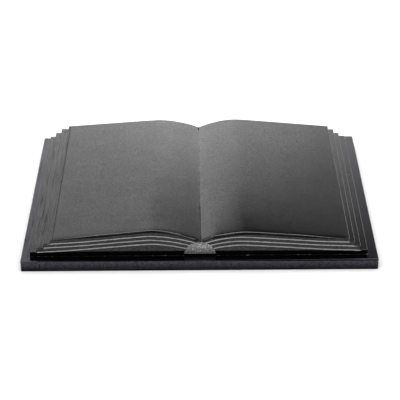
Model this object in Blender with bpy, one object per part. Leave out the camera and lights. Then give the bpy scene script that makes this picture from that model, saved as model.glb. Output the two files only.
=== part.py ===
"""Open-book memorial: a polished granite book bonded onto a thin granite slab.

Lengths are metres. The origin is the centre of the slab's underside. +X is the reader's
right, +Y the head of the pages and +Z up. The round end of the spine shows at both ends.
"""

import math
from collections import namedtuple

import bmesh
import bpy
from mathutils import Vector

# One open leaf at one end of the book: how far out its crest lies, two rises, and how far
# the treads beside it are lifted
Leaf = namedtuple("Leaf", "crest_reach crest_rise edge_rise tread_lift")

# Base slab
SLAB_WIDTH = 0.400
SLAB_DEPTH = 0.300
SLAB_THICKNESS = 0.0127
SLAB_TOP_ARRIS = 0.0010
SLAB_FOOT_ARRIS = 0.0006
SLAB_CORNER = 0.0012

# Book block, and the bonding line under it
MARGIN = 0.0110  # bare slab round the block
JOINT = 0.0003
BOOK_ARRIS = 0.0007

# The pages' front ends are rubbed rounder than the arrises, except beside gutter and edge
FRONT_PAGE_ROUND = 0.0024
GUTTER_EASE = 0.0140
EDGE_EASE = 0.0600
ROUND_STEPS = 3

# Fanned page edges at the two sides: the rise to each tread, from the slab up
TREAD_RISES = (0.0061, 0.0056, 0.0051)
TREAD_WIDTH = 0.0077

# Open pages at the front end. Every rise is from the top tread
FRONT_GUTTER_RISE = 0.0024
FRONT_LEFT_CREST_REACH = 0.0550
FRONT_LEFT_CREST_RISE = 0.0149
FRONT_LEFT_EDGE_RISE = 0.0044
FRONT_RIGHT_CREST_REACH = 0.0485
FRONT_RIGHT_CREST_RISE = 0.0130
FRONT_RIGHT_EDGE_RISE = 0.0034

# Open pages at the back end, which hand carving left a little different
BACK_GUTTER_RISE = 0.0034
BACK_LEFT_CREST_REACH = 0.0500
BACK_LEFT_CREST_RISE = 0.0142
BACK_LEFT_EDGE_RISE = 0.0061
BACK_RIGHT_CREST_REACH = 0.0470
BACK_RIGHT_CREST_RISE = 0.0144
BACK_RIGHT_EDGE_RISE = 0.0038
BACK_LEFT_TREAD_LIFT = 0.0020

# How a leaf bends: steep out of the gutter, round over the crest, straight to its edge
GUTTER_TILT = math.radians(23)
GUTTER_HANDLE = 0.0150
CREST_HANDLE_IN = 0.0160
CREST_HANDLE_OUT = 0.0080
EDGE_HANDLE = 0.0850
BEND_STEPS = 12
STRAIGHT_STEPS = 10

# Page lines cut into the two end faces, one running out to each tread
TOP_LEAF = 0.0062  # from the crest of the page down to the first line
LEAF_PITCH = 0.0051
LINE_WIDTH = 0.0013
LINE_DEPTH = 0.0008

# Round end of the spine, pecked back into the two end faces
SPINE_RADIUS = 0.0182
SPINE_CHORD_HEIGHT = 0.0020  # above the slab
SPINE_RISE = 0.0156  # from the chord to the top of the arc
SPINE_DEPTH = 0.0010
SPINE_STEPS = 28

# Stone colours, linear
SLAB_COLOUR = (0.055, 0.055, 0.062, 1.0)
BOOK_COLOUR = (0.060, 0.060, 0.061, 1.0)
POLISH_ROUGHNESS = 0.12

FRONT_LEFT = Leaf(FRONT_LEFT_CREST_REACH, FRONT_LEFT_CREST_RISE, FRONT_LEFT_EDGE_RISE, 0)
FRONT_RIGHT = Leaf(FRONT_RIGHT_CREST_REACH, FRONT_RIGHT_CREST_RISE, FRONT_RIGHT_EDGE_RISE, 0)
BACK_LEFT = Leaf(
    BACK_LEFT_CREST_REACH, BACK_LEFT_CREST_RISE, BACK_LEFT_EDGE_RISE, BACK_LEFT_TREAD_LIFT
)
BACK_RIGHT = Leaf(BACK_RIGHT_CREST_REACH, BACK_RIGHT_CREST_RISE, BACK_RIGHT_EDGE_RISE, 0)
BLOCK_BOTTOM = SLAB_THICKNESS + JOINT
BLOCK_HALF_WIDTH = SLAB_WIDTH / 2 - MARGIN
BLOCK_HALF_DEPTH = SLAB_DEPTH / 2 - MARGIN
PAGE_HALF_WIDTH = BLOCK_HALF_WIDTH - TREAD_WIDTH * len(TREAD_RISES)
TREAD_HEIGHTS = [sum(TREAD_RISES[: i + 1]) for i in range(len(TREAD_RISES))]
TOP_TREAD = TREAD_HEIGHTS[-1]
CUTTER_OVERSHOOT = 0.002
SMOOTH_ANGLE = math.radians(30)


def clear_scene():
    for obj in list(bpy.data.objects):
        bpy.data.objects.remove(obj, do_unlink=True)


def granite(name, colour):
    material = bpy.data.materials.new(name)
    material.use_nodes = True
    shader = material.node_tree.nodes["Principled BSDF"]
    shader.inputs["Base Color"].default_value = colour
    shader.inputs["Roughness"].default_value = POLISH_ROUGHNESS
    shader.inputs["Metallic"].default_value = 0.0
    material.diffuse_color = colour
    return material


def object_from(bm, name):
    bmesh.ops.recalc_face_normals(bm, faces=bm.faces)
    mesh = bpy.data.meshes.new(name)
    bm.to_mesh(mesh)
    bm.free()
    obj = bpy.data.objects.new(name, mesh)
    bpy.context.scene.collection.objects.link(obj)
    return obj


def loft(bm, rings):
    """Closes a solid through rings of the same number of points, capped at both ends."""
    loops = [[bm.verts.new(point) for point in ring] for ring in rings]
    for lower, upper in zip(loops, loops[1:]):
        for i in range(len(lower)):
            j = (i + 1) % len(lower)
            bm.faces.new((lower[i], lower[j], upper[j], upper[i]))
    bm.faces.new(loops[0])
    bm.faces.new(list(reversed(loops[-1])))


def bezier(points, steps):
    """Points on one cubic curve, both ends included."""
    a, b, c, d = (Vector(point) for point in points)
    curve = []
    for i in range(steps + 1):
        t = i / steps
        s = 1 - t
        curve.append(a * s**3 + b * (3 * s * s * t) + c * (3 * s * t * t) + d * t**3)
    return curve


def leaf_curve(gutter_height, crest_reach, crest_height, edge_reach, edge_height):
    """A page's line from the gutter out to its edge, as (reach, height) points."""
    fall = crest_height - edge_height
    slope = fall / (edge_reach - crest_reach - CREST_HANDLE_OUT / 2)
    crest = (crest_reach, crest_height)
    bend = (
        (0, gutter_height),
        (GUTTER_HANDLE, gutter_height + math.tan(GUTTER_TILT) * GUTTER_HANDLE),
        (crest_reach - CREST_HANDLE_IN, crest_height),
        crest,
    )
    straight = (
        crest,
        (crest_reach + CREST_HANDLE_OUT, crest_height),
        (edge_reach - EDGE_HANDLE, edge_height + slope * EDGE_HANDLE),
        (edge_reach, edge_height),
    )
    return bezier(bend, BEND_STEPS) + bezier(straight, STRAIGHT_STEPS)[1:]


def tread_heights(leaf):
    """Heights of the treads beside one leaf above the slab, from the foot up."""
    return [height + leaf.tread_lift for height in TREAD_HEIGHTS]


def stepped_side(leaf):
    """The fanned page edges from the slab up, as (reach, height above slab) points."""
    points = [(BLOCK_HALF_WIDTH, JOINT)]
    reach = BLOCK_HALF_WIDTH
    for tread in tread_heights(leaf):
        points.append((reach, tread - BOOK_ARRIS))
        points.append((reach - BOOK_ARRIS, tread))
        reach -= TREAD_WIDTH
        points.append((reach, tread))
    points.append((reach, TOP_TREAD + leaf.edge_rise - BOOK_ARRIS))
    return points


def page_surface(gutter_rise, leaf):
    """The top of one leaf, ending where its edge's arris starts."""
    return leaf_curve(
        TOP_TREAD + gutter_rise,
        leaf.crest_reach,
        TOP_TREAD + leaf.crest_rise,
        PAGE_HALF_WIDTH - BOOK_ARRIS,
        TOP_TREAD + leaf.edge_rise,
    )


def block_outline(gutter_rise, left, right):
    """The block's section seen from the front: the foot, right side, pages, left side."""
    right_side = stepped_side(right)
    left_side = stepped_side(left)
    right_page = page_surface(gutter_rise, right)
    left_page = page_surface(gutter_rise, left)
    outline = right_side + [tuple(point) for point in reversed(right_page)]
    outline += [(-x, z) for x, z in left_page[1:]]
    outline += [(-x, z) for x, z in reversed(left_side)]
    return [Vector((x, SLAB_THICKNESS + z)) for x, z in outline]


def rounding_radii(outline, page_round):
    """The radius of an end's rounding at each point: page_round on the open pages."""
    radii = []
    for point in outline:
        from_edge = PAGE_HALF_WIDTH - abs(point.x)
        share = max(0, min(1, abs(point.x) / GUTTER_EASE, from_edge / EDGE_EASE))
        radii.append(BOOK_ARRIS + (page_round - BOOK_ARRIS) * share)
    return radii


def drawn_in(outline, distances):
    """The outline moved inwards by a distance at each point, its foot left on the joint."""
    inner = []
    for i, (point, distance) in enumerate(zip(outline, distances)):
        before = (point - outline[i - 1]).normalized()
        after = (outline[(i + 1) % len(outline)] - point).normalized()
        inward = Vector((-before.y - after.y, before.x + after.x)).normalized()
        stretch = inward.dot(Vector((-after.y, after.x)))
        moved = point + inward * (distance / stretch)
        if point.y <= BLOCK_BOTTOM:
            moved.y = point.y
        inner.append(moved)
    return inner


def at_depth(outline, y):
    return [Vector((point.x, y, point.y)) for point in outline]


def rounded_end(outline, page_round, end):
    """Rings from the rim of the face at end, -1 front or +1 back, to the full outline."""
    radii = rounding_radii(outline, page_round)
    rings = []
    for i in range(ROUND_STEPS + 1):
        turn = math.pi / 2 * i / ROUND_STEPS
        drawn = drawn_in(outline, [radius * (1 - math.sin(turn)) for radius in radii])
        ring = []
        for point, radius in zip(drawn, radii):
            y = end * (BLOCK_HALF_DEPTH - radius * (1 - math.cos(turn)))
            ring.append(Vector((point.x, y, point.y)))
        rings.append(ring)
    return rings


def block_body():
    """The book before its end faces are cut: pages lofted from the front end to the back."""
    front = block_outline(FRONT_GUTTER_RISE, FRONT_LEFT, FRONT_RIGHT)
    back = block_outline(BACK_GUTTER_RISE, BACK_LEFT, BACK_RIGHT)
    front_rings = rounded_end(front, FRONT_PAGE_ROUND, -1)
    back_rings = rounded_end(back, BOOK_ARRIS, 1)
    bm = bmesh.new()
    loft(bm, front_rings + list(reversed(back_rings)))
    book = object_from(bm, "open_book")
    for face in book.data.polygons:
        face.use_smooth = face.normal.z > math.cos(SMOOTH_ANGLE)
    book.data.set_sharp_from_angle(angle=SMOOTH_ANGLE)
    return book


def spine_centre():
    """The centre of the spine end's arc, in the plane of the face."""
    top = SLAB_THICKNESS + SPINE_CHORD_HEIGHT + SPINE_RISE
    return Vector((0, top - SPINE_RADIUS))


def spine_outline():
    """The arc from one end of its chord to the other."""
    centre = spine_centre()
    chord = SLAB_THICKNESS + SPINE_CHORD_HEIGHT
    start = math.asin((chord - centre.y) / SPINE_RADIUS)
    outline = []
    for i in range(SPINE_STEPS + 1):
        angle = start + (math.pi - 2 * start) * i / SPINE_STEPS
        outline.append(centre + SPINE_RADIUS * Vector((math.cos(angle), math.sin(angle))))
    return outline


def page_line(number, side, gutter_rise, leaf):
    """The middle of one page line, from just inside the spine's arc out to its tread."""
    curve = leaf_curve(
        TOP_TREAD + gutter_rise - (number + 1) * LEAF_PITCH,
        leaf.crest_reach,
        TOP_TREAD + leaf.crest_rise - TOP_LEAF - number * LEAF_PITCH,
        PAGE_HALF_WIDTH + number * TREAD_WIDTH,
        tread_heights(leaf)[-1 - number],
    )
    line = [Vector((side * x, SLAB_THICKNESS + z)) for x, z in curve]
    return outside_spine(line)


def outside_spine(line):
    """Drops the stretch that lies well within the spine's arc."""
    centre = spine_centre()
    reach = SPINE_RADIUS - LINE_WIDTH / 2
    first = next(i for i, point in enumerate(line) if (point - centre).length > reach)
    if first == 0:
        return line
    inner, outer = line[first - 1], line[first]
    low, high = (inner - centre).length, (outer - centre).length
    start = inner.lerp(outer, (reach - low) / (high - low))
    rest = [point for point in line[first:] if (point - start).length > LINE_WIDTH]
    return [start] + rest


def line_outline(line):
    """The line widened to the width of the cut."""
    upper, lower = [], []
    for i, point in enumerate(line):
        along = (line[min(i + 1, len(line) - 1)] - line[max(i - 1, 0)]).normalized()
        across = Vector((-along.y, along.x)) * (LINE_WIDTH / 2)
        upper.append(point + across)
        lower.append(point - across)
    return upper + list(reversed(lower))


def face_cutter(name, outlines, end, depth):
    """Prisms that cut outlines into the end face at end, -1 front or +1 back."""
    bm = bmesh.new()
    face = end * BLOCK_HALF_DEPTH
    for outline in outlines:
        loft(
            bm,
            (
                at_depth(outline, face + end * CUTTER_OVERSHOOT),
                at_depth(outline, face - end * depth),
            ),
        )
    cutter = object_from(bm, name)
    cutter.hide_render = True
    cutter.display_type = "WIRE"
    return cutter


def cut(body, cutter):
    modifier = body.modifiers.new(cutter.name, "BOOLEAN")
    modifier.operation = "DIFFERENCE"
    modifier.solver = "EXACT"
    modifier.object = cutter


def cut_page_lines(book, end, gutter_rise, left, right):
    end_name = "front" if end < 0 else "back"
    for side, side_name, leaf in ((-1, "left", left), (1, "right", right)):
        outlines = [
            line_outline(page_line(number, side, gutter_rise, leaf))
            for number in range(len(TREAD_RISES))
        ]
        name = f"{end_name}_{side_name}_page_lines"
        cut(book, face_cutter(name, outlines, end, LINE_DEPTH))


def open_book():
    book = block_body()
    cut_page_lines(book, -1, FRONT_GUTTER_RISE, FRONT_LEFT, FRONT_RIGHT)
    cut_page_lines(book, 1, BACK_GUTTER_RISE, BACK_LEFT, BACK_RIGHT)
    cut(book, face_cutter("front_spine_end", [spine_outline()], -1, SPINE_DEPTH))
    cut(book, face_cutter("back_spine_end", [spine_outline()], 1, SPINE_DEPTH))
    book.data.materials.append(granite("polished_granite_book", BOOK_COLOUR))
    return book


def slab_ring(inset, z):
    """The slab's plan at one height, with its four corners eased."""
    half_width = SLAB_WIDTH / 2 - inset
    half_depth = SLAB_DEPTH / 2 - inset
    ring = []
    for x_side, y_side in ((1, 1), (-1, 1), (-1, -1), (1, -1)):
        along_x = (x_side * (half_width - SLAB_CORNER), y_side * half_depth, z)
        along_y = (x_side * half_width, y_side * (half_depth - SLAB_CORNER), z)
        ring += [along_y, along_x] if x_side == y_side else [along_x, along_y]
    return ring


def base_slab():
    bm = bmesh.new()
    loft(
        bm,
        (
            slab_ring(SLAB_FOOT_ARRIS, 0),
            slab_ring(0, SLAB_FOOT_ARRIS),
            slab_ring(0, SLAB_THICKNESS - SLAB_TOP_ARRIS),
            slab_ring(SLAB_TOP_ARRIS, SLAB_THICKNESS),
        ),
    )
    slab = object_from(bm, "base_slab")
    slab.data.materials.append(granite("polished_granite_slab", SLAB_COLOUR))
    return slab


def main():
    clear_scene()
    base_slab()
    open_book()


main()
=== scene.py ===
import math

import bmesh
import bpy
import numpy as np
from mathutils import Matrix, Vector


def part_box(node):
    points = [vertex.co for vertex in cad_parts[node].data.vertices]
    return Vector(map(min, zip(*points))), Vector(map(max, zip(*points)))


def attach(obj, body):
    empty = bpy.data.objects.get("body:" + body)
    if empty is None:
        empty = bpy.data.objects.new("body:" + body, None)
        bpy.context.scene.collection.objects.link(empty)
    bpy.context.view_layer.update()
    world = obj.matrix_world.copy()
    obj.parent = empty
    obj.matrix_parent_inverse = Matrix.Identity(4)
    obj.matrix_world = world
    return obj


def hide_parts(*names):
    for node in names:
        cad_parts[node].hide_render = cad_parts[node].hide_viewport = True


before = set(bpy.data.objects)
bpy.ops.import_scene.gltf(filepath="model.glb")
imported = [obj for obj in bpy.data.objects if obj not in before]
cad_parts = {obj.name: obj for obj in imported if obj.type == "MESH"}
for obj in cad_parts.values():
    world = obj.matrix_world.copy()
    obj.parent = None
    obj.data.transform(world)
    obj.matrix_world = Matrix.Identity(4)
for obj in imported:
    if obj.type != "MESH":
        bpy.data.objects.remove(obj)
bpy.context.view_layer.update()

MM = 0.001

# The solids' own boxes give every outer size
SLAB_HIGH = Vector(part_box("base_slab")[1])
BOOK_LOW, BOOK_HIGH = (Vector(corner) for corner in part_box("open_book"))
SLAB_TOP = SLAB_HIGH.z
BLOCK_HALF_WIDTH = BOOK_HIGH.x
BLOCK_HALF_DEPTH = BOOK_HIGH.y
JOINT = BOOK_LOW.z - SLAB_TOP

# Fanned page edges: the rise to each tread from the slab up, and the treads' width
TREAD_RISES = (6.1 * MM, 5.6 * MM, 5.1 * MM)
TREAD_WIDTH = 7.7 * MM
TREADS = len(TREAD_RISES)
TREAD_HEIGHTS = np.cumsum(TREAD_RISES)
TOP_TREAD = TREAD_HEIGHTS[-1]
PAGE_HALF_WIDTH = BLOCK_HALF_WIDTH - TREAD_WIDTH * TREADS

# Open pages: for each end, the gutter's place and rise, and each leaf's crest and edge above the
# top tread. The treads are hand cut: how far each edge strays outwards, the page's edge last, and
# each tread upwards, from the foot up
FRONT = {
    "gutter": (1.4 * MM, 2.4 * MM),
    "left": (55.0 * MM, 14.9 * MM, 4.4 * MM),
    "right": (48.5 * MM, 13.0 * MM, 3.4 * MM),
    "left_strays": ((1.2 * MM, 0.8 * MM, 0.4 * MM, 0.6 * MM), (0.0, 0.0, 0.0)),
    "right_strays": ((-0.5 * MM, -0.9 * MM, 0.2 * MM, 2.0 * MM), (0.0, 0.0, 0.0)),
    "end_round": 2.6 * MM,
}
BACK = {
    "gutter": (0.0, 3.4 * MM),
    "left": (50.0 * MM, 14.2 * MM, 6.1 * MM),
    "right": (47.0 * MM, 14.4 * MM, 3.8 * MM),
    "left_strays": ((1.4 * MM, 1.9 * MM, 2.0 * MM, 0.6 * MM), (2.0 * MM, 1.7 * MM, 2.2 * MM)),
    "right_strays": ((-0.6 * MM, -0.8 * MM, -0.1 * MM, 0.3 * MM), (0.6 * MM, -1.0 * MM, -0.7 * MM)),
    "end_round": 0.6 * MM,
}
GUTTER_TILT = math.radians(23)
GUTTER_HANDLE = 15.0 * MM
CREST_HANDLE_IN = 16.0 * MM
CREST_HANDLE_OUT = 8.0 * MM
EDGE_HANDLE = 85.0 * MM

# Arrises eased by hand. The pages' end rounds grow over these lengths, in from the page's outer
# edge and out from the gutter
STEP_ARRIS = 0.65 * MM
PAGE_CORNER_ARRIS = 0.7 * MM
EDGE_EASE = 60 * MM
GUTTER_EASE = 6 * MM
ROUND_SWELL = 0.18
ROUND_SWELL_LENGTH = 14 * MM

# The pages dip a little before they reach their rounded front ends
DIP = 0.35 * MM
DIP_REACH = 3.0 * MM

# Where the grinder dwelt at the pages' front ends, or left the page full: place, width and
# depth, and how far in from the front that fades
HOLLOWS = (
    (13.0 * MM, 10.0 * MM, -1.3 * MM),
    (28.0 * MM, 25.0 * MM, 1.7 * MM),
    (-42.0 * MM, 22.0 * MM, -0.65 * MM),
)
HOLLOW_REACH = 28.0 * MM

# Slow waves that hand polishing leaves in the pages: height, and length across and along
WAVE_HEIGHT = 0.05 * MM
WAVE_ACROSS = 38 * MM
WAVE_ALONG = 52 * MM
PAGE_SHARE_OVER = 6 * MM  # hollows and waves grow over this much, in from the page's outer edge

# The saw's cut along the gutter, and where polishing left it open: in patches, more and more of
# them towards the front, and all of it in the last millimetres at the back
GUTTER_CUT = 0.15 * MM
GUTTER_CUT_WIDTH = 2.0 * MM
GUTTER_RAGGED = 0.9
GUTTER_RAG_LENGTH = 6 * MM
OPEN_PATCH = 7 * MM
OPEN_FRONT_FROM, OPEN_FRONT_OVER = 40 * MM, 50 * MM
OPEN_BACK_FROM, OPEN_BACK_OVER = 126 * MM, 8 * MM
OPEN_PULL = 1.5
OPEN_ABOVE = 0.55
OPEN_HALF_WIDTH = 0.4 * GUTTER_CUT_WIDTH

# Page lines, cut round both end faces
TOP_LEAF = 6.2 * MM
LEAF_PITCH = 5.1 * MM
LINE_WIDTH = 1.2 * MM
LINE_DEPTH = 0.7 * MM
LINE_WANDER = 0.12 * MM
LINE_WANDER_LENGTH = 9 * MM
LINE_UNEVEN = 0.22
LINE_UNEVEN_LENGTH = 2.2 * MM
LINE_ROUGH = 0.25
LINE_ROUGH_LENGTH = 1.6 * MM
LINE_STEADY_OVER = 3 * MM  # it wanders less in the last stretch before it leaves the face
LINE_LIFT_OVER = 40 * MM  # over the crest it lies nearer to the page, and comes down over this
LINE_RUN_OUT = {"left": (5.0 * MM, 1.0 * MM, 1.0 * MM), "right": (1.0 * MM, 6.0 * MM, 0.5 * MM)}

# A line's own section: places across it as parts of its width, and how deep it is there
LINE_ACROSS = (-0.5, -0.25, 0, 0.25, 0.5)
LINE_SHARES = (0, 0.8, 1, 0.8, 0)

# The spine's round end, a low disc segment cut back from the face and pecked
SPINE_RADIUS = 18.2 * MM
SPINE_MIDDLE = 0.5 * MM
SPINE_CHORD = 2.5 * MM
SPINE_TOP = 17.6 * MM
SPINE_DEPTH = 0.6 * MM
SPINE_RIM = 1.2 * MM
SPINE_PECKING = 0.25 * MM
PECK = 0.9 * MM
FINE_PECK = 0.5 * MM
FINE_PECK_SHARE = 0.6

# How finely the book is meshed
LEAF_STEPS = 160
GUTTER_COLUMNS_REACH = SPINE_RADIUS + 1.5 * MM
GUTTER_COLUMN = 0.45 * MM
LEAF_COLUMNS = 126
TREAD_COLUMNS = (0.06, 0.22, 0.4, 0.6, 0.8, 1.0)
ARRIS_STEPS = 6
ROUND_STEPS = 8
DISC_ROWS = 26
RING_DISTANCES = np.array((0.4, 1.0, 1.8, 2.8, 4.2, 6.0, 8.5, 12.0, 17.0, 24.0)) * MM
MIDDLE_RINGS = 60
WELD = 0.002 * MM
SHORTEST_EDGE = 0.001 * MM

HAIR = 0.01 * MM  # what the adhesive keeps from both stones, and a line's shortest run out
BESIDE_PAGE = 3 * MM  # the page's own arris lies within this much of its half width
MICRON = 1e-6
NOTHING = 1e-9

# Finishes of the stone, in the order of each piece's materials
POLISHED, CUT, PECKED, SAWN, RUBBED = range(5)

# Camera, solved from the photograph's outline: focal length in pixels of a 400 pixel frame
IMAGE_WIDTH = 400
FOCAL_PIXELS = 1396.6
SENSOR = 36.0
CAMERA_AT = Vector((-1.83 * MM, -1465.5 * MM, 846.9 * MM))
CAMERA_YAW = math.radians(0.12)
CAMERA_PITCH = math.radians(29.89)
CAMERA_ROLL = math.radians(-0.33)


# Noise

NOISE_CELLS = 64  # after so many cells it repeats


def value_noise(u, v, seed):
    """Smooth noise from -1 to 1 over two coordinates, one cell a unit wide."""
    table = np.random.default_rng(seed).uniform(-1, 1, (NOISE_CELLS, NOISE_CELLS))
    u, v = np.asarray(u, float), np.asarray(v, float)
    i, j = np.floor(u).astype(int), np.floor(v).astype(int)
    a, b = u - i, v - j
    a, b = a * a * (3 - 2 * a), b * b * (3 - 2 * b)
    i, j, i1, j1 = (index % NOISE_CELLS for index in (i, j, i + 1, j + 1))
    low = table[i, j] * (1 - a) + table[i1, j] * a
    high = table[i, j1] * (1 - a) + table[i1, j1] * a
    return low * (1 - b) + high * b


def wander(along, cell, seed):
    """Smooth noise along one line, with the given cell length.

    Callers add whole metres to their distances only to take another stretch of the noise.
    """
    return value_noise(np.asarray(along) / cell, np.full(np.shape(along), 0.5), seed)


def smoothstep(value):
    value = np.clip(value, 0, 1)
    return value * value * (3 - 2 * value)


# The book's section

def bezier(points):
    t = np.linspace(0, 1, LEAF_STEPS + 1)[:, None]
    a, b, c, d = (np.asarray(point, float) for point in points)
    return a * (1 - t) ** 3 + 3 * b * t * (1 - t) ** 2 + 3 * c * t * t * (1 - t) + d * t**3


def leaf_curve(start, crest_reach, crest, edge_reach, edge):
    """A page's line from the gutter out, as (reach, height) rows."""
    slope = (crest - edge) / (edge_reach - crest_reach - CREST_HANDLE_OUT / 2)
    bend = bezier((
        start,
        (start[0] + GUTTER_HANDLE, start[1] + math.tan(GUTTER_TILT) * GUTTER_HANDLE),
        (crest_reach - CREST_HANDLE_IN, crest),
        (crest_reach, crest),
    ))
    straight = bezier((
        (crest_reach, crest),
        (crest_reach + CREST_HANDLE_OUT, crest),
        (edge_reach - EDGE_HANDLE, edge + slope * EDGE_HANDLE),
        (edge_reach, edge),
    ))
    return np.vstack((bend, straight[1:]))


def tread_edges(end, side):
    """Reaches of the stepped side's edges from the foot up: three treads and the page."""
    even = PAGE_HALF_WIDTH + TREAD_WIDTH * np.arange(TREADS, -1, -1)
    return even + end[side + "_strays"][0]


def tread_heights(end, side):
    return TREAD_HEIGHTS + end[side + "_strays"][1]


def leaf_height(end, side, reach, drop=0.0, edge=None):
    """Heights of one page, or of a line that lies drop below it, at the given reaches."""
    shift, gutter_rise = end["gutter"]
    crest_reach, crest_rise, edge_rise = end[side]
    start = (shift if side == "right" else -shift, TOP_TREAD + gutter_rise - drop)
    edge_reach, edge_height = edge or (tread_edges(end, side)[-1], TOP_TREAD + edge_rise)
    curve = leaf_curve(start, crest_reach, TOP_TREAD + crest_rise - drop, edge_reach, edge_height)
    return np.interp(reach, curve[:, 0], curve[:, 1])


def page_columns(end):
    """Where the columns of the mesh stand across the pages, from the right edge to the left."""
    near = GUTTER_COLUMNS_REACH
    fine = np.arange(-near, near, GUTTER_COLUMN)
    right, left = (
        np.linspace(near, tread_edges(end, side)[-1] - PAGE_CORNER_ARRIS, LEAF_COLUMNS)
        for side in ("right", "left")
    )
    columns = np.concatenate((-left[::-1], fine[1:], right))
    return columns[::-1]


def page_height(end, x):
    right = leaf_height(end, "right", x)
    left = leaf_height(end, "left", -x)
    return np.where(x >= end["gutter"][0], right, left)


def side_outline(end, side):
    """The stepped side from the foot up: rows of outline x, z, face x, z and end rounding."""
    rows = []
    edges = tread_edges(end, side)
    base = JOINT
    for number, tread in enumerate(tread_heights(end, side)):
        rows += riser_rows(edges[number], base, tread, STEP_ARRIS, number == 0)
        rows += tread_rows(edges[number], edges[number + 1], tread)
        base = tread
    top = TOP_TREAD + end[side][2]
    rows += riser_rows(edges[-1], base, top, PAGE_CORNER_ARRIS, False)
    return np.array(rows)


def riser_rows(width, base, top, arris, at_foot):
    """One upright page edge with its arris, from the slab or from the tread below it."""
    face_x = width - arris
    if at_foot:
        rows = [(width, z, face_x, z, arris) for z in (base, SPINE_CHORD)]
    else:
        rises = (0.25 * LINE_WIDTH, 0.5 * LINE_WIDTH)
        rows = [(width, base + rise, face_x, base - STEP_ARRIS + rise, arris) for rise in rises]
    for turn in np.linspace(0, math.pi / 2, ARRIS_STEPS):
        x = width - arris + arris * math.cos(turn)
        z = top - arris + arris * math.sin(turn)
        rows.append((x, z, face_x, top - arris, arris))
    return rows


def tread_rows(width, inner, height):
    rows = []
    for part in TREAD_COLUMNS:
        x = width - STEP_ARRIS + (inner - width + STEP_ARRIS) * part
        face_x = width - STEP_ARRIS + (inner - width) * part
        rows.append((x, height, face_x, height - STEP_ARRIS, STEP_ARRIS))
    return rows


def page_rows(end, x):
    """The pages from right to left, with each end's rounding grown towards the crests."""
    z = page_height(end, x)
    growth = smoothstep((PAGE_HALF_WIDTH - np.abs(x)) / EDGE_EASE)
    growth *= smoothstep(np.abs(x) / GUTTER_EASE)
    rounding = PAGE_CORNER_ARRIS + (end["end_round"] - PAGE_CORNER_ARRIS) * growth
    rounding *= 1 + ROUND_SWELL * wander(x + 1, ROUND_SWELL_LENGTH, 5)
    slope = np.gradient(z, x)
    length = np.hypot(1, slope)
    return np.column_stack((x, z, x + slope / length * rounding, z - rounding / length, rounding))


def outline(end):
    """The whole section from the right foot over the pages to the left foot."""
    right = side_outline(end, "right")
    left = side_outline(end, "left")
    left[:, (0, 2)] *= -1
    pages = page_rows(end, page_columns(end))
    pages[0, 2:4] = right[-1, 2:4]
    pages[-1, 2:4] = left[-1, 2:4]
    return np.vstack((right, pages[1:-1], left[::-1]))


# The two end faces, carved with page lines and the spine's end

def spine_arc(x):
    centre = SPINE_TOP - SPINE_RADIUS
    squared = SPINE_RADIUS**2 - (x - SPINE_MIDDLE) ** 2
    arc = centre + np.sqrt(np.maximum(squared, 0))
    return np.where(squared > 0, np.maximum(arc, SPINE_CHORD), SPINE_CHORD)


def line_levels(end, x, number, top):
    """The five heights across one cut line in each column: edge, wall, floor, wall, edge."""
    centre = np.empty_like(x)
    steady = np.empty_like(x)
    half = np.full_like(x, LINE_WIDTH / 2)
    for side, sign in (("left", -1), ("right", 1)):
        here = (x >= end["gutter"][0]) == (sign > 0)
        reach = sign * x[here]
        drop = (number + 1) * LEAF_PITCH
        face_edge = tread_edges(end, side)[-1 - number]
        tread = tread_heights(end, side)[-1 - number]
        line = leaf_height(end, side, reach, drop, (face_edge, tread - STEP_ARRIS))
        steady[here] = smoothstep((face_edge - 2 * STEP_ARRIS - reach) / LINE_STEADY_OVER)
        over_crest = smoothstep(reach / end[side][0])
        over_crest *= smoothstep((face_edge - reach) / LINE_LIFT_OVER)
        line -= (TOP_LEAF - LEAF_PITCH) * over_crest
        centre[here] = line
        past = reach - (face_edge - STEP_ARRIS)
        fade = 1 - smoothstep(past / LINE_RUN_OUT[side][number])
        half[here] *= np.where(past > HAIR, fade, 1)
    centre += LINE_WANDER * wander(x + 2, LINE_WANDER_LENGTH, 11 + number) * steady
    half *= 1 + LINE_UNEVEN * wander(x + 3, LINE_UNEVEN_LENGTH, 21 + number) * steady
    floor_level = spine_arc(x)
    levels = [centre + part * 2 * half for part in LINE_ACROSS]
    return [np.clip(level, floor_level, top) for level in levels], steady


def face_mesh(end, rows, sign):
    """Grid and row finishes of one end face. Sign is -1 for the front, 1 for the back."""
    columns = rows[face_column_mask(rows)]
    x, top = columns[:, 2], columns[:, 3]
    flush = np.zeros_like(x)
    arc = spine_arc(x)
    levels = [np.full_like(x, JOINT), np.full_like(x, SPINE_CHORD)]
    depths = [flush, flush]
    finishes = [POLISHED]
    inside = np.clip((arc - SPINE_CHORD) / SPINE_RIM, 0, 1)
    for row in range(1, DISC_ROWS):
        z = SPINE_CHORD + (arc - SPINE_CHORD) * row / DISC_ROWS
        pecks = value_noise(x / PECK, z / PECK, 31)
        pecks += FINE_PECK_SHARE * value_noise(x / FINE_PECK, z / FINE_PECK, 32)
        levels.append(z)
        depths.append(inside * (SPINE_DEPTH + SPINE_PECKING * pecks))
        finishes.append(PECKED)
    levels.append(arc)
    depths.append(flush)
    finishes.append(PECKED)
    for number in range(TREADS - 1, -1, -1):
        line, steady = line_levels(end, x, number, top)
        open_line = np.clip((line[-1] - line[0]) / LINE_WIDTH * 2, 0, 1) * steady
        rough = 1 + LINE_ROUGH * wander(x + 4, LINE_ROUGH_LENGTH, 41 + number)
        levels += line
        depths += [share * LINE_DEPTH * open_line * rough for share in LINE_SHARES]
        finishes += [POLISHED] + [CUT] * (len(line) - 1)
    levels.append(top)
    depths.append(flush)
    finishes.append(POLISHED)
    z, y = np.array(levels), sign * (BLOCK_HALF_DEPTH - np.array(depths))
    return np.stack((np.broadcast_to(x, z.shape), y, z + SLAB_TOP), axis=-1), finishes


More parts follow.
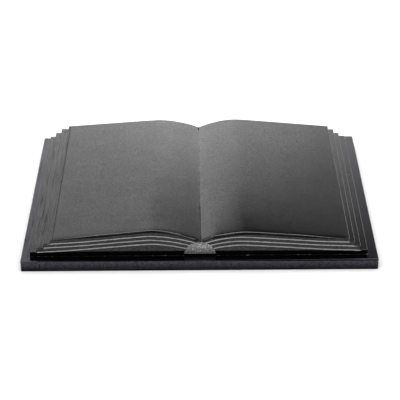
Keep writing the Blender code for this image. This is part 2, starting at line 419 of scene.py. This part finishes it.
def face_column_mask(rows):
    """The outline rows that stand over a column of the face: one for each face x."""
    keep = np.ones(len(rows), bool)
    keep[1:] = np.abs(np.diff(rows[:, 2])) >= NOTHING
    return keep


# The book's mesh

def end_rings(rows, sign):
    """Rings from the end face's rim round to the full outline."""
    rings = []
    for turn in np.linspace(0, math.pi / 2, ROUND_STEPS + 1):
        inset = 1 - math.sin(turn)
        depth = rows[:, 4] * (1 - math.cos(turn))
        x = rows[:, 0] + (rows[:, 2] - rows[:, 0]) * inset
        z = rows[:, 1] + (rows[:, 3] - rows[:, 1]) * inset
        rings.append(np.column_stack((x, sign * (BLOCK_HALF_DEPTH - depth), z + SLAB_TOP)))
    return rings


def ring_shares(front, back):
    """How far along from the front ring to the back ring each middle ring lies."""
    length = back[:, 1].mean() - front[:, 1].mean()
    near = RING_DISTANCES / length
    middle = np.linspace(near[-1], 1 - near[-1], MIDDLE_RINGS)
    return np.concatenate((near, middle[1:-1], 1 - near[::-1]))


def gutter_at(y):
    front_share = 0.5 - y / (2 * BLOCK_HALF_DEPTH)
    return BACK["gutter"][0] + (FRONT["gutter"][0] - BACK["gutter"][0]) * front_share


def open_gutter(points, faces, finishes):
    """Gives the faces along the gutter a rubbed finish where the saw's cut was left open."""
    for index, face in enumerate(faces):
        x, y, z = points[list(face)].mean(axis=0)
        if abs(x - gutter_at(y)) < OPEN_HALF_WIDTH and z > SLAB_TOP + SPINE_TOP:
            left_open = wander(y + 1, OPEN_PATCH, 54)
            left_open += OPEN_PULL * smoothstep((-y - OPEN_FRONT_FROM) / OPEN_FRONT_OVER)
            left_open += OPEN_PULL * smoothstep((y - OPEN_BACK_FROM) / OPEN_BACK_OVER)
            if left_open > OPEN_ABOVE:
                finishes[index] = RUBBED


def polished_by_hand(points, on_page):
    """The points with the pages' front dip, hollows, gutter cut and slow polishing waves."""
    x, y = points[:, 0], points[:, 1]
    from_front = BLOCK_HALF_DEPTH + y
    drop = DIP * np.exp(-from_front / DIP_REACH)
    for across, width, depth in HOLLOWS:
        near = np.exp(-(((x - across) / width) ** 2))
        drop += depth * near * np.exp(-from_front / HOLLOW_REACH)
    ragged = 1 + GUTTER_RAGGED * wander(y + 1, GUTTER_RAG_LENGTH, 53)
    drop += GUTTER_CUT * ragged * np.exp(-(((x - gutter_at(y)) / (GUTTER_CUT_WIDTH / 2)) ** 2))
    waves = WAVE_HEIGHT * value_noise(x / WAVE_ACROSS + 7, y / WAVE_ALONG + 7, 51)
    polished = points.copy()
    polished[:, 2] += on_page * (waves - drop)
    return polished


def add_grid(points, faces, finishes, grid, row_finish, flip, rubbed=()):
    """Adds a grid of quads in their rows' finishes, with the rubbed columns dull along the body."""
    rows, columns = grid.shape[:2]
    first = len(points)
    points.extend(grid.reshape(-1, 3))
    for row in range(rows - 1):
        along_body = ROUND_STEPS <= row < rows - 1 - ROUND_STEPS
        for column in range(columns - 1):
            a = first + row * columns + column
            quad = (a, a + columns, a + columns + 1, a + 1)
            faces.append(quad[::-1] if flip else quad)
            finishes.append(RUBBED if along_body and column in rubbed else row_finish[row])


def page_share(rows):
    """How far each row of the outline belongs to the open pages, from 0 to 1."""
    return smoothstep((PAGE_HALF_WIDTH - np.abs(rows[:, 0])) / PAGE_SHARE_OVER)


def left_arrises(rows):
    """Columns of the body's grid that lie on the arrises of the left side."""
    turned = np.hypot(rows[:, 0] - rows[:, 2], rows[:, 1] - rows[:, 3])
    on_round = np.abs(turned - rows[:, 4]) < MICRON
    left = rows[:, 0] < -(PAGE_HALF_WIDTH - BESIDE_PAGE)
    bend = np.abs(rows[:, 0] - rows[:, 2]) > MICRON
    whole = on_round & left & bend
    return {int(i) for i in np.flatnonzero(whole[:-1] & whole[1:])}


def book_mesh():
    """Points, faces and finishes of the book: its body from end to end and its two end faces."""
    front_rows, back_rows = outline(FRONT), outline(BACK)
    front, back = end_rings(front_rows, -1), end_rings(back_rows, 1)
    shares = ring_shares(front[-1], back[-1])
    middle = [front[-1] + (back[-1] - front[-1]) * share for share in shares]
    rings = front + middle + back[::-1]
    body = np.array([polished_by_hand(ring, page_share(front_rows)) for ring in rings])
    points, faces, finishes = [], [], []
    add_grid(points, faces, finishes, body, [POLISHED] * len(body), False, left_arrises(front_rows))
    open_gutter(np.array(points), faces, finishes)
    for end, rows, sign in ((FRONT, front_rows, -1), (BACK, back_rows, 1)):
        grid, row_finish = face_mesh(end, rows, sign)
        grid[-1] = polished_by_hand(grid[-1], page_share(rows[face_column_mask(rows)]))
        add_grid(points, faces, finishes, grid, row_finish, sign < 0)
    return np.array(points), faces, finishes


def add_underside(book):
    """Closes the book's foot with one flat face."""
    bm = bmesh.new()
    bm.from_mesh(book.data)
    bmesh.ops.remove_doubles(bm, verts=bm.verts, dist=WELD)
    bmesh.ops.dissolve_degenerate(bm, edges=bm.edges, dist=SHORTEST_EDGE)
    rim = [edge for edge in bm.edges if edge.is_boundary]
    for face in bmesh.ops.contextual_create(bm, geom=rim)["faces"]:
        face.material_index = SAWN
        face.smooth = False
    bmesh.ops.recalc_face_normals(bm, faces=bm.faces)
    bm.to_mesh(book.data)
    bm.free()


# The slab's mesh

SLAB_CORNER = 1.5 * MM
SLAB_FOOT_ARRIS = 0.3 * MM
CORNER_STEPS = 6
SIDE_STEPS = 41
FOOT_ARRIS_STEPS = 4
TOP_ARRIS_STEPS = 8
SIDE_SHARES = (0.2, 0.4, 0.6, 0.8)

# The slab's top arris is eased wider in front, more and more from this place to the right
SLAB_ARRIS = 0.55 * MM
FRONT_ARRIS_EXTRA = 1.35 * MM
FRONT_ARRIS_FROM, FRONT_ARRIS_OVER = -40 * MM, 200 * MM
SLAB_ARRIS_UNEVEN = 0.12
SLAB_ARRIS_UNEVEN_LENGTH = 20 * MM


def slab_path():
    """The slab's plan, anticlockwise from the right front corner: points and outward directions."""
    inner = np.array((SLAB_HIGH.x - SLAB_CORNER, SLAB_HIGH.y - SLAB_CORNER))
    points, outward = [], []
    corners = ((1, -1, -90), (1, 1, 0), (-1, 1, 90), (-1, -1, 180))
    for (sx, sy, start), (next_sx, next_sy, next_start) in zip(corners, corners[1:] + corners[:1]):
        for turn in np.linspace(0, 90, CORNER_STEPS):
            angle = math.radians(start + turn)
            direction = np.array((math.cos(angle), math.sin(angle)))
            points.append(inner * (sx, sy) + SLAB_CORNER * direction)
            outward.append(direction)
        last = points[-1]
        target = inner * (next_sx, next_sy) + SLAB_CORNER * outward[-1]
        for share in np.linspace(0, 1, SIDE_STEPS)[1:-1]:
            points.append(last + (target - last) * share)
            outward.append(outward[-1])
    return np.array(points), np.array(outward)


def slab_mesh():
    plan, outward = slab_path()
    along = np.concatenate(((0,), np.cumsum(np.hypot(*np.diff(plan, axis=0).T))))
    in_front = outward[:, 1] < -0.8  # the front side and the nearest parts of its corners
    growth = in_front * smoothstep((plan[:, 0] - FRONT_ARRIS_FROM) / FRONT_ARRIS_OVER)
    arris = SLAB_ARRIS + FRONT_ARRIS_EXTRA * growth
    arris = arris * (1 + SLAB_ARRIS_UNEVEN * wander(along, SLAB_ARRIS_UNEVEN_LENGTH, 61))
    full = np.ones(len(plan))
    straight = SLAB_TOP - SLAB_FOOT_ARRIS - arris
    rings = []
    for turn in np.linspace(0, math.pi / 2, FOOT_ARRIS_STEPS):
        inset = SLAB_FOOT_ARRIS * (1 - math.sin(turn))
        rings.append((inset * full, SLAB_FOOT_ARRIS * (1 - math.cos(turn)) * full))
    for share in SIDE_SHARES:
        rings.append((0 * full, SLAB_FOOT_ARRIS + straight * share))
    for turn in np.linspace(0, math.pi / 2, TOP_ARRIS_STEPS):
        inset = arris * (1 - math.cos(turn))
        rings.append((inset, SLAB_TOP - arris + arris * math.sin(turn)))
    points, faces, finishes = ring_grid(plan, -outward, rings)
    count = len(plan)
    last = (len(rings) - 1) * (count + 1)
    faces.append(tuple(range(count))[::-1])
    finishes.append(SAWN)
    faces.append(tuple(range(last, last + count)))
    finishes.append(POLISHED)
    return points, faces, finishes


def ring_grid(plan, inward, rings):
    """The skin through rings round a plan, each given by its inset and its height."""
    grid = np.array([np.column_stack((plan + inward * inset[:, None], z)) for inset, z in rings])
    grid = np.concatenate((grid, grid[:, :1]), axis=1)
    points, faces, finishes = [], [], []
    add_grid(points, faces, finishes, grid, [POLISHED] * len(grid), True)
    return np.array(points), faces, finishes


# The bonding line's mesh

BEAD_INSIDE = 3.0 * MM
BEAD_PROUD = 0.22 * MM
BEAD_CLIMB = 0.16 * MM
BEAD_STEP = 2 * MM
BEAD_BACK_AT_SPINE = 1.5 * MM
BEAD_BACK_FROM = 0.2  # full to this part of the spine's radius, and out over one radius more

# How much of it shows varies: its mean, then the height and length of two swells, and its limits
BEAD_MEAN = 0.35
BEAD_SWELLS = ((0.7, 9 * MM, 71), (0.6, 31 * MM, 72))
BEAD_LEAST, BEAD_MOST = 0.05, 1.3


def bead_mesh():
    """A ribbon of adhesive in the joint that just shows round the foot of the book."""
    half_width, half_depth = BLOCK_HALF_WIDTH, BLOCK_HALF_DEPTH
    corners = [(sx * half_width, sy * half_depth) for sx, sy in ((1, -1), (1, 1), (-1, 1), (-1, -1))]
    plan, inward = [], []
    for (x0, y0), (x1, y1) in zip(corners, corners[1:] + corners[:1]):
        steps = int(math.hypot(x1 - x0, y1 - y0) / BEAD_STEP)
        for share in np.arange(steps) / steps:
            x, y = x0 + (x1 - x0) * share, y0 + (y1 - y0) * share
            plan.append((x, y))
            on_side = abs(abs(x) - half_width) < NOTHING
            on_end = abs(abs(y) - half_depth) < NOTHING
            inward.append((-np.sign(x) * on_side, -np.sign(y) * on_end))
    plan, inward = np.array(plan), np.array(inward, float)
    along = np.arange(len(plan)) * BEAD_STEP
    swell = BEAD_MEAN
    for share, length, seed in BEAD_SWELLS:
        swell = swell + share * wander(along, length, seed)
    swell = np.clip(swell, BEAD_LEAST, BEAD_MOST)
    under_spine = 1 - smoothstep(np.abs(plan[:, 0]) / SPINE_RADIUS - BEAD_BACK_FROM)
    low, high = SLAB_TOP + HAIR, SLAB_TOP + JOINT - HAIR
    proud = BEAD_PROUD * swell - BEAD_BACK_AT_SPINE * under_spine
    full = np.ones(len(plan))
    section = (
        (BEAD_INSIDE * full, low * full),
        (-proud, low * full),
        (-0.7 * proud, high * full),
        (-0.1 * proud, high + BEAD_CLIMB * swell * (1 - under_spine)),
        (BEAD_INSIDE * full, high * full),
        (BEAD_INSIDE * full, low * full),
    )
    return ring_grid(plan, inward, section)


# Objects

SHARP_ANGLE = math.radians(40)


def object_from(name, points, faces, finishes, materials):
    mesh = bpy.data.meshes.new(name)
    mesh.from_pydata([tuple(point) for point in points], [], faces)
    for material in materials:
        mesh.materials.append(material)
    mesh.polygons.foreach_set("material_index", finishes)
    mesh.polygons.foreach_set("use_smooth", [True] * len(faces))
    mesh.update()
    obj = bpy.data.objects.new(name, mesh)
    bpy.context.scene.collection.objects.link(obj)
    return obj


def even_normals(obj):
    obj.data.set_sharp_from_angle(angle=SHARP_ANGLE)
    modifier = obj.modifiers.new("even_normals", "WEIGHTED_NORMAL")
    modifier.keep_sharp = True
    modifier.weight = 60


# Materials

def linear(hex_colour):
    """An sRGB hex colour as linear red, green, blue and alpha."""
    channels = [int(hex_colour[i : i + 2], 16) / 255 for i in (1, 3, 5)]
    straight = [c / 12.92 if c <= 0.04045 else ((c + 0.055) / 1.055) ** 2.4 for c in channels]
    return (*straight, 1.0)


def coloured(*stops):
    """Colour stops from pairs of a position and a hex colour."""
    return [(position, linear(colour)) for position, colour in stops]


def shares(*stops):
    """Colour stops that carry a plain share, from pairs of a position and the share."""
    return [(position, (share, share, share, 1)) for position, share in stops]


def add_node(tree, kind, settings=None, links=None):
    """Adds a node, sets its properties, inputs and colour stops, and links its inputs."""
    node = tree.nodes.new(kind)
    for name, value in (settings or {}).items():
        if name == "stops":
            for index, (position, colour) in enumerate(value):
                elements = node.color_ramp.elements
                element = elements[index] if index < 2 else elements.new(position)
                element.position, element.color = position, colour
        elif name in node.inputs:
            node.inputs[name].default_value = value
        else:
            setattr(node, name, value)
    for name, output in (links or {}).items():
        tree.links.new(output, node.inputs[name])
    return node


def new_material(name):
    material = bpy.data.materials.new(name)
    material.use_nodes = True
    tree = material.node_tree
    shader = tree.nodes["Principled BSDF"]
    place = add_node(tree, "ShaderNodeTexCoord")
    return material, tree, shader, place.outputs["Object"]


# Polished black granite: specular level of the mirror polish, mean of its minerals, and the IOR
# of its feldspars and quartz
GLOSS = 0.53
GRANITE_IOR = 1.52

# Patterns in the polish. The minerals are really about 1 mm across and would blur away at this
# distance, so they are drawn coarser. Clouds and polishing waves have their real sizes
GRAIN = 1.4 * MM
MINERALS = 1.8 * MM
CLOUDS = 26 * MM
POLISHING_WAVES = 34 * MM
WAVE_RELIEF = 0.06 * MM
GRAIN_RELIEF = 0.004 * MM

# Strokes of hand polishing on the left treads: their width, also drawn coarser, how they are
# drawn out along the treads, and what share of the gloss they leave
STROKE = 2.0 * MM
STROKE_STRETCH = (1, 0.05, 0.3)
STROKE_GLOSS = ((0.36, 0.35), (0.46, 1.0), (0.66, 1.2))
LEFT_TREADS_FROM, LEFT_TREADS_TO = -166 * MM, -163 * MM

# The margin in front of the book, where the gloss is lowered as painted shade. The spans run over the
# slab from front to book and from left to right, and the positions on them are where the duller
# gloss begins and ends
FRONT_SPAN = (-150 * MM, -138 * MM)
FRONT_DULL = (0.14, 0.17, 0.90, 0.93)
WIDTH_SPAN = (-200 * MM, 200 * MM)
WIDTH_DULL = (0.024, 0.027, 0.971, 0.974)

# Upright faces are duller up to the first steepness and flat ones bright from the second, and
# the painted shade at the foot, where the gloss is lowered, ends at this height
UPRIGHT, FLAT = 0.3, 0.8
FOOT_FROM, FOOT_TO = 0.5 * MM, 11.5 * MM

# The book's polish is neutral. The slab's has a faint violet cast and a stronger mottle, and its
# upright faces have a little more gloss than its top, but keep little of it at their foot as painted shade
BOOK_POLISH = {
    "tint": "#ffffff",
    "mottle": 0.53,
    "upright_gloss": 0.72,
    "foot_shade_gloss": 1.0,
    "margin_shade_gloss": 1.0,
}
SLAB_POLISH = {
    "tint": "#ecebff",
    "mottle": 0.60,
    "upright_gloss": 1.10,
    "foot_shade_gloss": 0.12,
    "margin_shade_gloss": 0.3,
}


def polished_granite(name, tint, mottle, upright_gloss, foot_shade_gloss, margin_shade_gloss):
    """Black granite, sawn, ground and buffed to a mirror: the eye sees the room, not the stone.

    A faint grain breaks the mirrored room up, and mottle is its contrast. Upright faces, which
    are polished by hand, have upright_gloss times the flat faces' gloss, and foot_shade_gloss times
    that at their foot, a painted shade that darkens the foot. The margin in front of the book has
    margin_shade_gloss times its own, a painted shade there. On the left treads the hand's strokes
    show as fine dull streaks.
    """
    material, tree, shader, place = new_material(name)
    at = add_node(tree, "ShaderNodeSeparateXYZ", links={"Vector": place})
    surface = add_node(tree, "ShaderNodeNewGeometry")
    facing = add_node(tree, "ShaderNodeSeparateXYZ", links={"Vector": surface.outputs["True Normal"]})
    grain = add_node(
        tree,
        "ShaderNodeTexNoise",
        {"Scale": 1 / GRAIN, "Detail": 3.0, "Roughness": 0.6},
        {"Vector": place},
    )
    ground = add_node(
        tree,
        "ShaderNodeValToRGB",
        {"stops": coloured((0.42, "#010101"), (0.62, "#060607"), (0.74, "#2a2a2e"))},
        {"Fac": grain.outputs["Fac"]},
    )
    roughness = add_node(
        tree,
        "ShaderNodeMapRange",
        {"From Min": 0.3, "From Max": 0.7, "To Min": 0.08, "To Max": 0.14},
        {"Value": grain.outputs["Fac"]},
    )
    minerals = add_node(
        tree,
        "ShaderNodeTexNoise",
        {"Scale": 1 / MINERALS, "Detail": 2.0, "Roughness": 0.75},
        {"Vector": place},
    )
    mineral_gloss = add_node(
        tree,
        "ShaderNodeMapRange",
        {"From Min": 0.3, "From Max": 0.7, "To Min": GLOSS * (1 - mottle), "To Max": GLOSS * (1 + mottle)},
        {"Value": minerals.outputs["Fac"]},
    )
    clouds = add_node(
        tree,
        "ShaderNodeTexNoise",
        {"Scale": 1 / CLOUDS, "Detail": 3.0},
        {"Vector": place},
    )
    cloud_gloss = add_node(
        tree,
        "ShaderNodeMapRange",
        {"From Min": 0.35, "From Max": 0.65, "To Min": 0.93, "To Max": 1.07},
        {"Value": clouds.outputs["Fac"]},
    )
    face_gloss = add_node(
        tree,
        "ShaderNodeMapRange",
        {"From Min": UPRIGHT, "From Max": FLAT, "To Min": upright_gloss, "To Max": 1.0},
        {"Value": facing.outputs["Z"]},
    )
    # Painted shade: less gloss at the foot of upright faces, darker towards the floor
    painted_foot_shade = add_node(
        tree,
        "ShaderNodeMapRange",
        {"From Min": FOOT_FROM, "From Max": FOOT_TO, "To Min": foot_shade_gloss, "To Max": 1.0},
        {"Value": at.outputs["Z"]},
    )
    sides = []
    for span, dull, axis in ((FRONT_SPAN, FRONT_DULL, "Y"), (WIDTH_SPAN, WIDTH_DULL, "X")):
        along = add_node(
            tree,
            "ShaderNodeMapRange",
            {"From Min": span[0], "From Max": span[1]},
            {"Value": at.outputs[axis]},
        )
        # Painted shade: lower gloss in the margin in front of the book
        glosses = (1, margin_shade_gloss, margin_shade_gloss, 1)
        side = add_node(
            tree,
            "ShaderNodeValToRGB",
            {"stops": shares(*zip(dull, glosses))},
            {"Fac": along.outputs["Result"]},
        )
        sides.append(side.outputs["Color"])
    whole_margin = add_node(
        tree,
        "ShaderNodeMixRGB",
        {"blend_type": "LIGHTEN", "Fac": 1.0},
        {"Color1": sides[0], "Color2": sides[1]},
    )
    drawn_out = add_node(tree, "ShaderNodeMapping", {"Scale": STROKE_STRETCH}, {"Vector": place})
    strokes = add_node(
        tree,
        "ShaderNodeTexNoise",
        {"Scale": 1 / STROKE, "Detail": 3.0, "Roughness": 0.7},
        {"Vector": drawn_out.outputs["Vector"]},
    )
    stroke_gloss = add_node(
        tree,
        "ShaderNodeValToRGB",
        {"stops": shares(*STROKE_GLOSS)},
        {"Fac": strokes.outputs["Fac"]},
    )
    on_left_treads = add_node(
        tree,
        "ShaderNodeMapRange",
        {"From Min": LEFT_TREADS_FROM, "From Max": LEFT_TREADS_TO, "To Min": 1.0, "To Max": 0.0},
        {"Value": at.outputs["X"]},
    )
    stroked = add_node(
        tree,
        "ShaderNodeMixRGB",
        {"Color1": (1, 1, 1, 1)},
        {"Fac": on_left_treads.outputs["Result"], "Color2": stroke_gloss.outputs["Color"]},
    )
    gloss = mineral_gloss
    for share in (cloud_gloss, face_gloss, painted_foot_shade, whole_margin, stroked):
        gloss = add_node(
            tree,
            "ShaderNodeMath",
            {"operation": "MULTIPLY"},
            {0: gloss.outputs[0], 1: share.outputs[0]},
        )
    hand_waves = add_node(
        tree,
        "ShaderNodeTexNoise",
        {"Scale": 1 / POLISHING_WAVES, "Detail": 1.0},
        {"Vector": place},
    )
    waved = add_node(
        tree,
        "ShaderNodeBump",
        {"Distance": WAVE_RELIEF},
        {"Height": hand_waves.outputs["Fac"]},
    )
    grained = add_node(
        tree,
        "ShaderNodeBump",
        {"Distance": GRAIN_RELIEF},
        {"Height": grain.outputs["Fac"], "Normal": waved.outputs["Normal"]},
    )
    tree.links.new(ground.outputs["Color"], shader.inputs["Base Color"])
    tree.links.new(roughness.outputs["Result"], shader.inputs["Roughness"])
    tree.links.new(gloss.outputs["Value"], shader.inputs["Specular IOR Level"])
    tree.links.new(grained.outputs["Normal"], shader.inputs["Normal"])
    shader.inputs["IOR"].default_value = GRANITE_IOR
    shader.inputs["Specular Tint"].default_value = linear(tint)
    return material


MATT_GLOSS = 0.12


def matt_granite(name, cell, stops, roughness, relief):
    """Granite that was never polished: a mottled grey of its own, with no gloss to hide it."""
    material, tree, shader, place = new_material(name)
    grain = add_node(
        tree,
        "ShaderNodeTexNoise",
        {"Scale": 1 / cell, "Detail": 4.0, "Roughness": 0.67},
        {"Vector": place},
    )
    colour = add_node(
        tree,
        "ShaderNodeValToRGB",
        {"stops": coloured(*stops)},
        {"Fac": grain.outputs["Fac"]},
    )
    raised = add_node(tree, "ShaderNodeBump", {"Distance": relief}, {"Height": grain.outputs["Fac"]})
    tree.links.new(colour.outputs["Color"], shader.inputs["Base Color"])
    tree.links.new(raised.outputs["Normal"], shader.inputs["Normal"])
    shader.inputs["Roughness"].default_value = roughness
    shader.inputs["Specular IOR Level"].default_value = MATT_GLOSS
    return material


def cut_granite():
    """Granite left raw by the saw in the page lines: crushed grain, so it looks almost white."""
    stops = ((0.3, "#848483"), (0.7, "#c4c4c2"))
    return matt_granite("raw_cut_granite", 0.9 * MM, stops, 0.85, 0.15 * MM)


def pecked_granite():
    """Bush-hammered granite at the spine's end: bruised mid grey, with light and dark pecks.

    Its grey is darkened over its lowest 10 mm as painted shade, which the eye takes for a soft shadow.
    """
    stops = ((0.3, "#454545"), (0.52, "#848484"), (0.68, "#c8c8c7"))
    material = matt_granite("pecked_granite", 1.3 * MM, stops, 0.9, 0.2 * MM)
    tree = material.node_tree
    shader = tree.nodes["Principled BSDF"]
    grey = shader.inputs["Base Color"].links[0].from_socket
    place = add_node(tree, "ShaderNodeTexCoord")
    at = add_node(tree, "ShaderNodeSeparateXYZ", links={"Vector": place.outputs["Object"]})
    # Painted shade: the grey darkens to 0.3 of itself towards the slab
    painted_low_shade = add_node(
        tree,
        "ShaderNodeMapRange",
        {"From Min": SLAB_TOP + 1 * MM, "From Max": SLAB_TOP + 10 * MM, "To Min": 0.3, "To Max": 1.0},
        {"Value": at.outputs["Z"]},
    )
    shaded = add_node(
        tree,
        "ShaderNodeMixRGB",
        {"blend_type": "MULTIPLY", "Fac": 1.0},
        {"Color1": grey, "Color2": painted_low_shade.outputs["Result"]},
    )
    tree.links.new(shaded.outputs["Color"], shader.inputs["Base Color"])
    return material


def rubbed_granite():
    """Arrises and gutter taken down with a rubbing stone, not polished: a thin dull dark line."""
    stops = ((0.35, "#080808"), (0.65, "#363636"))
    return matt_granite("rubbed_granite", 5 * MM, stops, 0.6, 0.05 * MM)


def sawn_granite():
    """The undersides, as the diamond saw left them: dull, even dark grey."""
    stops = ((0.3, "#3e3f41"), (0.7, "#5c5d5f"))
    return matt_granite("sawn_granite", 1.4 * MM, stops, 0.75, 0.05 * MM)


def stone_adhesive():
    """Grey polyester stone adhesive, wiped off flush: a dull thread, dark with pale stretches."""
    stops = ((0.44, "#161617"), (0.57, "#323233"), (0.67, "#a8a8a8"))
    return matt_granite("stone_adhesive", 6 * MM, stops, 0.6, 0.02 * MM)


# Stage

FLOOR_HALF = 20

# A soft box overhead, out of the camera's sight. The rounded front arrises mirror it
OVERHEAD_AT = (0, 1.45, 2.75)
OVERHEAD_SIZE = (2.4, 1.7)
OVERHEAD_RADIANCE = 4.4

# Glows on an upright card behind the book, which the polish mirrors: across, up, inner and
# outer radius in metres, and radiance
CARD_AT = 0.80
CARD_SIZE = (4.0, 0.80)
CARD_GLOWS = {
    "lit_wall": (0.043, -0.262, 0.0, 0.904, 3.93),
    "left_wall": (-0.353, 0.171, 0.352, 0.766, 1.25),
    "right_wall": (0.384, -0.052, 0.551, 0.757, 0.44),
    "right_lamp": (0.72, 0.08, 0.04, 0.16, 3.0),
}

# Lamps and walls of the room in front: azimuth from the back, elevation and both radii in
# degrees, and radiance
ROOM_GLOWS = {
    "left_lamp": (-115, 38, 20.0, 40.0, 2.6),
    "right_lamp": (115, 38, 20.0, 40.0, 2.5),
    "front_wall": (180, 32, 5.0, 40.0, 0.10),
}
ROOM_DIM = 0.03


def camera():
    forward = Vector((
        math.sin(CAMERA_YAW) * math.cos(CAMERA_PITCH),
        math.cos(CAMERA_YAW) * math.cos(CAMERA_PITCH),
        -math.sin(CAMERA_PITCH),
    ))
    level = Vector((math.cos(CAMERA_YAW), -math.sin(CAMERA_YAW), 0))
    above = level.cross(forward)
    right = level * math.cos(CAMERA_ROLL) + above * math.sin(CAMERA_ROLL)
    up = above * math.cos(CAMERA_ROLL) - level * math.sin(CAMERA_ROLL)
    data = bpy.data.cameras.new("camera")
    data.sensor_width = SENSOR
    data.lens = FOCAL_PIXELS * SENSOR / IMAGE_WIDTH
    data.clip_start = 0.05
    obj = bpy.data.objects.new("camera", data)
    turn = Matrix((right, up, -forward)).transposed()
    obj.matrix_world = Matrix.Translation(CAMERA_AT) @ turn.to_4x4()
    bpy.context.scene.collection.objects.link(obj)
    bpy.context.scene.camera = obj


def floor():
    """A pale matt floor that runs out to white, as in the cut out photograph."""
    material, tree, shader, place = new_material("pale_studio_floor")
    shader.inputs["Base Color"].default_value = linear("#fcfcfc")
    shader.inputs["Roughness"].default_value = 0.9
    shader.inputs["Specular IOR Level"].default_value = 0.1
    corners = [(x * FLOOR_HALF, y * FLOOR_HALF, 0) for x, y in ((-1, -1), (1, -1), (1, 1), (-1, 1))]
    object_from("floor", corners, [(0, 1, 2, 3)], [0], (material,))


def overhead_box():
    """A rectangular soft light, given by the radiance of its face."""
    data = bpy.data.lights.new("overhead_soft_box", "AREA")
    data.shape = "RECTANGLE"
    data.size, data.size_y = OVERHEAD_SIZE
    data.energy = OVERHEAD_RADIANCE * math.pi * OVERHEAD_SIZE[0] * OVERHEAD_SIZE[1]
    obj = bpy.data.objects.new("overhead_soft_box", data)
    obj.location = OVERHEAD_AT
    obj.rotation_euler = (-Vector(OVERHEAD_AT)).to_track_quat("-Z", "Y").to_euler()
    obj.visible_camera = False
    bpy.context.scene.collection.objects.link(obj)


def pools_of_light(tree, pools):
    """Adds soft edged pools of light to the room's dim light, and returns their sum's output.

    A pool is its distance output, full within the inner distance and out at the outer one, and
    its radiance.
    """
    dim = add_node(tree, "ShaderNodeValue")
    dim.outputs[0].default_value = ROOM_DIM
    light = dim.outputs[0]
    for distance, inner, outer, radiance in pools:
        pool = add_node(
            tree,
            "ShaderNodeMapRange",
            {
                "interpolation_type": "SMOOTHSTEP",
                "From Min": inner,
                "From Max": outer,
                "To Min": radiance,
                "To Max": 0.0,
            },
            {"Value": distance},
        )
        both = add_node(tree, "ShaderNodeMath", {"operation": "ADD"}, {0: light, 1: pool.outputs[0]})
        light = both.outputs[0]
    return light


def back_card():
    """A large card behind the book with soft pools of light on it, out of the camera's sight."""
    half, top = CARD_SIZE[0] / 2, CARD_SIZE[1]
    corners = [(-half, CARD_AT, 0), (half, CARD_AT, 0), (half, CARD_AT, top), (-half, CARD_AT, top)]
    material, tree, shader, place = new_material("lit_card")
    tree.nodes.remove(shader)
    pools = []
    for across, up, inner, outer, radiance in CARD_GLOWS.values():
        distance = add_node(tree, "ShaderNodeVectorMath", {"operation": "DISTANCE"}, {0: place})
        distance.inputs[1].default_value = (across, CARD_AT, up)
        pools.append((distance.outputs["Value"], inner, outer, radiance))
    light = add_node(tree, "ShaderNodeEmission", links={"Strength": pools_of_light(tree, pools)})
    tree.links.new(light.outputs["Emission"], tree.nodes["Material Output"].inputs["Surface"])
    card = object_from("back_card", corners, [(0, 1, 2, 3)], [0], (material,))
    card.visible_camera = False


def room():
    """The rest of the room, dim but for two side lamps and a pale wall behind the camera."""
    world = bpy.data.worlds.new("studio")
    world.use_nodes = True
    tree = world.node_tree
    direction = add_node(tree, "ShaderNodeTexCoord").outputs["Generated"]
    pools = []
    for azimuth, elevation, inner, outer, radiance in ROOM_GLOWS.values():
        around, up = math.radians(azimuth), math.radians(elevation)
        dot = add_node(tree, "ShaderNodeVectorMath", {"operation": "DOT_PRODUCT"}, {0: direction})
        dot.inputs[1].default_value = (
            math.sin(around) * math.cos(up),
            math.cos(around) * math.cos(up),
            math.sin(up),
        )
        angle = add_node(tree, "ShaderNodeMath", {"operation": "ARCCOSINE"}, {0: dot.outputs["Value"]})
        pools.append((angle.outputs["Value"], math.radians(inner), math.radians(outer), radiance))
    background = tree.nodes["Background"]
    tree.links.new(pools_of_light(tree, pools), background.inputs["Strength"])
    background.inputs["Color"].default_value = (1, 1, 1, 1)
    bpy.context.scene.world = world


def dress():
    """Builds the two stones and their bonding line, and says what each one stands for."""
    unpolished = (cut_granite(), pecked_granite(), sawn_granite(), rubbed_granite())
    book_polish = polished_granite("polished_black_granite", **BOOK_POLISH)
    book = object_from("carved_book", *book_mesh(), (book_polish, *unpolished))
    add_underside(book)
    even_normals(book)
    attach(book, "root")
    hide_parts("open_book")
    slab_polish = polished_granite("polished_black_granite_slab", **SLAB_POLISH)
    slab = object_from("eased_slab", *slab_mesh(), (slab_polish, *unpolished))
    even_normals(slab)
    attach(slab, "root")
    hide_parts("base_slab")
    bead = object_from("bonding_line", *bead_mesh(), (stone_adhesive(),))
    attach(bead, "root")


dress()
floor()
overhead_box()
back_card()
room()
camera()
bpy.context.scene.view_settings.view_transform = "Standard"
